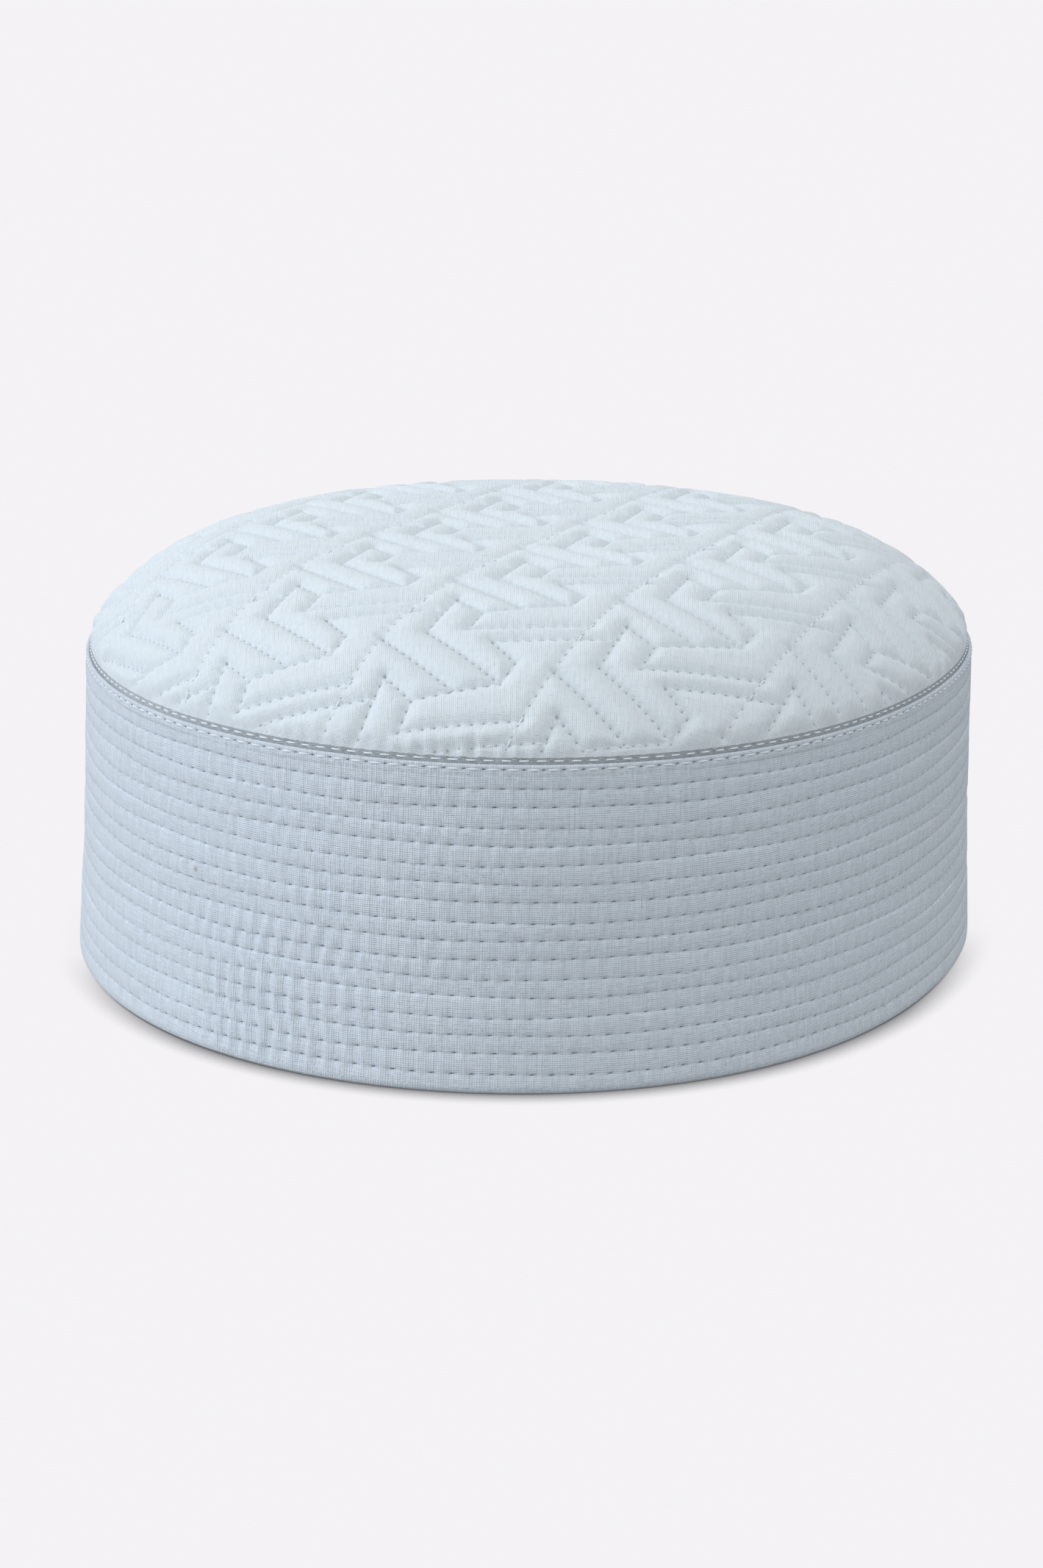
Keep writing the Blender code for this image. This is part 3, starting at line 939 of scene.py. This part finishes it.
def mix_colours(tree, share, first, second):
    """A colour between two, each an output or a plain colour, by an output that runs from 0 to 1."""
    mix = tree.nodes.new("ShaderNodeMix")
    mix.data_type = "RGBA"
    tree.links.new(share, mix.inputs[0])
    for socket, colour in ((mix.inputs[6], first), (mix.inputs[7], second)):
        if isinstance(colour, tuple):
            socket.default_value = (*colour, 1.0)
        else:
            tree.links.new(colour, socket)
    return mix.outputs[2]


def stretched(tree, value, low, high, least=0.0, most=1.0):
    """A value stretched so that low gives the least and high the most."""
    stretch = tree.nodes.new("ShaderNodeMapRange")
    stretch.inputs["From Min"].default_value = low
    stretch.inputs["From Max"].default_value = high
    stretch.inputs["To Min"].default_value = least
    stretch.inputs["To Max"].default_value = most
    tree.links.new(value, stretch.inputs["Value"])
    return stretch.outputs["Result"]


def noise(tree, place, scale, detail):
    """Cloudy noise over a place."""
    clouds = tree.nodes.new("ShaderNodeTexNoise")
    clouds.inputs["Scale"].default_value = scale
    clouds.inputs["Detail"].default_value = detail
    tree.links.new(place, clouds.inputs["Vector"])
    return clouds.outputs["Fac"]


def thread_lines(tree, place, direction, pitch):
    """Threads side by side at a pitch, as a wave from 0 between threads to 1 on them."""
    wave = tree.nodes.new("ShaderNodeTexWave")
    wave.bands_direction = direction
    wave.inputs["Scale"].default_value = math.pi / (10 * pitch)
    wave.inputs["Distortion"].default_value = THREAD_WAVER
    wave.inputs["Detail"].default_value = THREAD_WAVER_DETAIL
    wave.inputs["Detail Scale"].default_value = THREAD_WAVER_SCALE
    tree.links.new(place, wave.inputs["Vector"])
    return wave.outputs["Fac"]


def woven_height(tree, place, pitch):
    """A plain weave: threads along and across, each on top in patches as thick as their slubs."""
    upright = thread_lines(tree, place, "X", pitch)
    level = thread_lines(tree, place, "Y", pitch * LEVEL_THREAD_PITCH)
    slubs = stretched(tree, noise(tree, place, SLUB_SCALE, 3.0), *CLOUD_RANGE)
    weave = tree.nodes.new("ShaderNodeMix")
    tree.links.new(slubs, weave.inputs[0])
    tree.links.new(upright, weave.inputs[2])
    tree.links.new(level, weave.inputs[3])
    return weave.outputs[0]


def thread_streaks(tree, place):
    """Streaks where some threads of the cloth are thicker than others, mostly upright ones."""
    streaks = []
    for across, along in STREAK_SQUEEZES:
        squeeze = tree.nodes.new("ShaderNodeVectorMath")
        squeeze.operation = "MULTIPLY"
        squeeze.inputs[1].default_value = (across, along, 1.0)
        tree.links.new(place, squeeze.inputs[0])
        streaks.append(noise(tree, squeeze.outputs["Vector"], STREAK_SCALE, 2.0))
    both = tree.nodes.new("ShaderNodeMix")
    both.inputs[0].default_value = LEVEL_STREAK_SHARE
    tree.links.new(streaks[0], both.inputs[2])
    tree.links.new(streaks[1], both.inputs[3])
    return stretched(tree, both.outputs[0], *STREAK_RANGE)


def band_fleck_spots():
    """Where the band's flecks are, with their radius and strength."""
    return [(to_plan(taper(height), angle, height), *rest) for angle, height, *rest in BAND_FLECKS]


def crown_fleck_spots():
    """Where the crown's flecks are, with their radius and strength."""
    return [(on_dome(x, y, QUILT_PUFF), *rest) for x, y, *rest in CROWN_FLECKS]


def add_flecks(tree, colour, spots):
    """Small brown flecks, each round its spot."""
    place = tree.nodes.new("ShaderNodeTexCoord").outputs["Object"]
    for spot, radius, strength in spots:
        away = tree.nodes.new("ShaderNodeVectorMath")
        away.operation = "DISTANCE"
        tree.links.new(place, away.inputs[0])
        away.inputs[1].default_value = spot.tolist()
        core = FLECK_CORE * radius
        share = stretched(tree, away.outputs["Value"], core, FLECK_EDGE * radius, strength, 0.0)
        colour = mix_colours(tree, share, colour, FLECK_COLOUR)
    return colour


def added(tree, first, second):
    """The sum of two values."""
    total = tree.nodes.new("ShaderNodeMath")
    total.operation = "ADD"
    tree.links.new(first, total.inputs[0])
    tree.links.new(second, total.inputs[1])
    return total.outputs["Value"]


def cloth_material(name, colour, shade, hole_painted_shade, streak_shade, pitch, weave_depth, sheen, spots):
    """Woven cotton: crossing threads with painted shade between them, a cloudy tone, painted shade in the
    needle holes and a faint sheen.
    """
    material = bpy.data.materials.new(name)
    material.use_nodes = True
    tree = material.node_tree
    shader = tree.nodes["Principled BSDF"]
    shader.inputs["Roughness"].default_value = CLOTH_ROUGHNESS
    shader.inputs["Specular IOR Level"].default_value = CLOTH_SPECULAR
    shader.inputs["Sheen Weight"].default_value = sheen
    shader.inputs["Sheen Roughness"].default_value = CLOTH_SHEEN_ROUGHNESS
    map_node = tree.nodes.new("ShaderNodeUVMap")
    map_node.uv_map = "cloth"
    place = map_node.outputs["UV"]
    weave = woven_height(tree, place, pitch)
    bump = tree.nodes.new("ShaderNodeBump")
    bump.inputs["Distance"].default_value = weave_depth
    streaks = thread_streaks(tree, place)
    tree.links.new(added(tree, weave, streaks), bump.inputs["Height"])
    link(tree, bump, "Normal", shader, "Normal")
    clouds = stretched(tree, noise(tree, place, CLOUD_SCALE, 2.0), *CLOUD_RANGE)
    clouded = mix_colours(tree, clouds, shade, colour)
    # Painted shade between the threads, darkest where the weave runs low.
    between = tuple(part * THREAD_GAP_SHADE for part in shade)
    woven = mix_colours(tree, stretched(tree, weave, 0.0, THREAD_GAP_SHADE_EDGE), between, clouded)
    thin = tuple(part * streak_shade for part in shade)
    streaked = mix_colours(tree, streaks, thin, woven)
    flecked = add_flecks(tree, streaked, spots)
    # Painted shade in the needle holes, set by the hole mark on the mesh.
    mark = tree.nodes.new("ShaderNodeAttribute")
    mark.attribute_name = "hole"
    hole = stretched(tree, mark.outputs["Fac"], HOLE_EDGE, HOLE_EDGE + HOLE_SOFTNESS)
    tree.links.new(mix_colours(tree, hole, flecked, hole_painted_shade), shader.inputs["Base Color"])
    return material


def thread_material():
    """White cotton thread, a little glossier than the cloth."""
    material = bpy.data.materials.new("white_thread")
    material.use_nodes = True
    tree = material.node_tree
    shader = tree.nodes["Principled BSDF"]
    shader.inputs["Roughness"].default_value = THREAD_ROUGHNESS
    shader.inputs["Sheen Weight"].default_value = THREAD_SHEEN
    place = tree.nodes.new("ShaderNodeTexCoord").outputs["Object"]
    tint = mix_colours(tree, noise(tree, place, THREAD_TINT_SCALE, 2.0), THREAD_SHADE, THREAD_COLOUR)
    tree.links.new(tint, shader.inputs["Base Color"])
    return material


def make_camera():
    """The camera at the photo's viewing angle."""
    data = bpy.data.cameras.new("photo_camera")
    data.sensor_fit = "HORIZONTAL"
    data.sensor_width = SENSOR_WIDTH
    data.lens = FOCAL_PIXELS / PHOTO_WIDTH * SENSOR_WIDTH
    data.clip_start = CAMERA_NEAREST
    data.clip_end = CAMERA_FURTHEST
    camera = bpy.data.objects.new("photo_camera", data)
    bpy.context.scene.collection.objects.link(camera)
    forward = Vector((0, math.cos(CAMERA_PITCH), -math.sin(CAMERA_PITCH)))
    eye = Vector(CAMERA_TARGET) - CAMERA_DISTANCE * forward
    right = Vector((1, 0, 0))
    up = Vector((0, math.sin(CAMERA_PITCH), math.cos(CAMERA_PITCH)))
    rolled_right = right * math.cos(CAMERA_ROLL) - up * math.sin(CAMERA_ROLL)
    rolled_up = right * math.sin(CAMERA_ROLL) + up * math.cos(CAMERA_ROLL)
    stand = Matrix((rolled_right, rolled_up, -forward)).transposed().to_4x4()
    stand.translation = eye
    centre = Matrix.Translation((-CAP_CENTRE[0], -CAP_CENTRE[1], 0))
    camera.matrix_world = centre @ Matrix.Rotation(PHOTO_TURN, 4, "Z") @ stand
    bpy.context.scene.camera = camera


def floor_material():
    """Even brightness, with a soft shadow close to the cap on the side that faces the camera."""
    material = bpy.data.materials.new("pale_floor")
    material.use_nodes = True
    tree = material.node_tree
    shader = tree.nodes["Principled BSDF"]
    shader.inputs["Base Color"].default_value = (0.0, 0.0, 0.0, 1.0)
    shader.inputs["Roughness"].default_value = FLOOR_ROUGHNESS
    shader.inputs["Specular IOR Level"].default_value = 0.0
    near = tree.nodes.new("ShaderNodeAmbientOcclusion")
    near.samples = SHADOW_SAMPLES
    near.inputs["Distance"].default_value = SHADOW_REACH
    covered = stretched(tree, near.outputs["AO"], 0.0, 1.0, 1.0, 0.0)
    place = tree.nodes.new("ShaderNodeTexCoord")
    outward = tree.nodes.new("ShaderNodeVectorMath")
    outward.operation = "NORMALIZE"
    link(tree, place, "Object", outward, 0)
    toward = tree.nodes.new("ShaderNodeVectorMath")
    toward.operation = "DOT_PRODUCT"
    direction = PHOTO_TURN + SHADOW_SIDE
    toward.inputs[1].default_value = (math.cos(direction), math.sin(direction), 0.0)
    link(tree, outward, 0, toward, 0)
    darkness = stretched(tree, toward.outputs["Value"], *SHADOW_TURNS, *SHADOW_STRENGTHS)
    shadow = tree.nodes.new("ShaderNodeMath")
    shadow.operation = "MULTIPLY"
    shadow.use_clamp = True
    tree.links.new(covered, shadow.inputs[0])
    tree.links.new(darkness, shadow.inputs[1])
    tone = mix_colours(tree, shadow.outputs[0], FLOOR_COLOUR, SHADOW_COLOUR)
    tree.links.new(tone, shader.inputs["Emission Color"])
    shader.inputs["Emission Strength"].default_value = 1.0
    return material


def make_floor():
    """A level floor just under the cap, which throws no light back on it."""
    mesh = bpy.data.meshes.new("floor")
    corners = [(x * FLOOR_REACH, y * FLOOR_REACH, 0) for x, y in ((-1, -1), (1, -1), (1, 1), (-1, 1))]
    mesh.from_pydata(corners, [], [(0, 1, 2, 3)])
    mesh.materials.append(floor_material())
    floor = bpy.data.objects.new("floor", mesh)
    bpy.context.scene.collection.objects.link(floor)
    floor.location.z = -FLOOR_DROP
    floor.visible_diffuse = False
    floor.visible_glossy = False


def make_key_light():
    """A broad key light from the photo's left, low over the floor."""
    sun = bpy.data.lights.new("key", "SUN")
    sun.energy = SUN_STRENGTH
    sun.angle = SUN_BREADTH
    sun.color = SUN_COLOUR
    key = bpy.data.objects.new("key", sun)
    bpy.context.scene.collection.objects.link(key)
    azimuth = PHOTO_TURN + SUN_DIRECTION
    level = math.cos(SUN_RISE)
    toward = Vector((math.cos(azimuth) * level, math.sin(azimuth) * level, math.sin(SUN_RISE)))
    key.rotation_euler = toward.to_track_quat("Z", "Y").to_euler()


def make_room():
    """A pale room that is brighter on some sides than on others."""
    world = bpy.data.worlds.new("room")
    bpy.context.scene.world = world
    world.use_nodes = True
    tree = world.node_tree
    place = tree.nodes.new("ShaderNodeTexCoord")
    tilt = tree.nodes.new("ShaderNodeVectorMath")
    tilt.operation = "DOT_PRODUCT"
    tilt.inputs[1].default_value = Matrix.Rotation(PHOTO_TURN, 3, "Z") @ Vector(ROOM_TILT)
    link(tree, place, "Generated", tilt, 0)
    room = tree.nodes.new("ShaderNodeMath")
    room.operation = "ADD"
    room.inputs[1].default_value = ROOM_LEVEL
    link(tree, tilt, "Value", room, 0)
    back = tree.nodes["Background"]
    back.inputs["Color"].default_value = (1.0, 1.0, 1.0, 1.0)
    link(tree, room, "Value", back, "Strength")
    bpy.context.scene.view_settings.view_transform = "Standard"
    bpy.context.scene.view_settings.look = "None"


make_camera()
make_floor()
make_key_light()
make_room()

band_cotton = cloth_material(
    "band_cotton", BAND_COLOUR, BAND_SHADE, BAND_HOLE_PAINTED_SHADE, BAND_STREAK_SHADE,
    BAND_WEAVE_PITCH, BAND_WEAVE_DEPTH, BAND_SHEEN, band_fleck_spots(),
)
crown_cotton = cloth_material(
    "crown_cotton", CROWN_COLOUR, CROWN_SHADE, CROWN_HOLE_PAINTED_SHADE, CROWN_STREAK_SHADE,
    CROWN_WEAVE_PITCH, CROWN_WEAVE_DEPTH, CROWN_SHEEN, crown_fleck_spots(),
)
thread = thread_material()

band_cloth = make_band(band_cotton)
band_thread = band_stitches(thread)
crown_quilt = make_crown(crown_cotton)
crown_thread = crown_stitches(thread)

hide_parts("band")
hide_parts("crown")
for piece, slot in (
    (band_cloth, "band_cloth"),
    (band_thread, "band_cloth"),
    (crown_quilt, "crown_cloth"),
    (crown_thread, "crown_cloth"),
):
    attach(piece, "root")
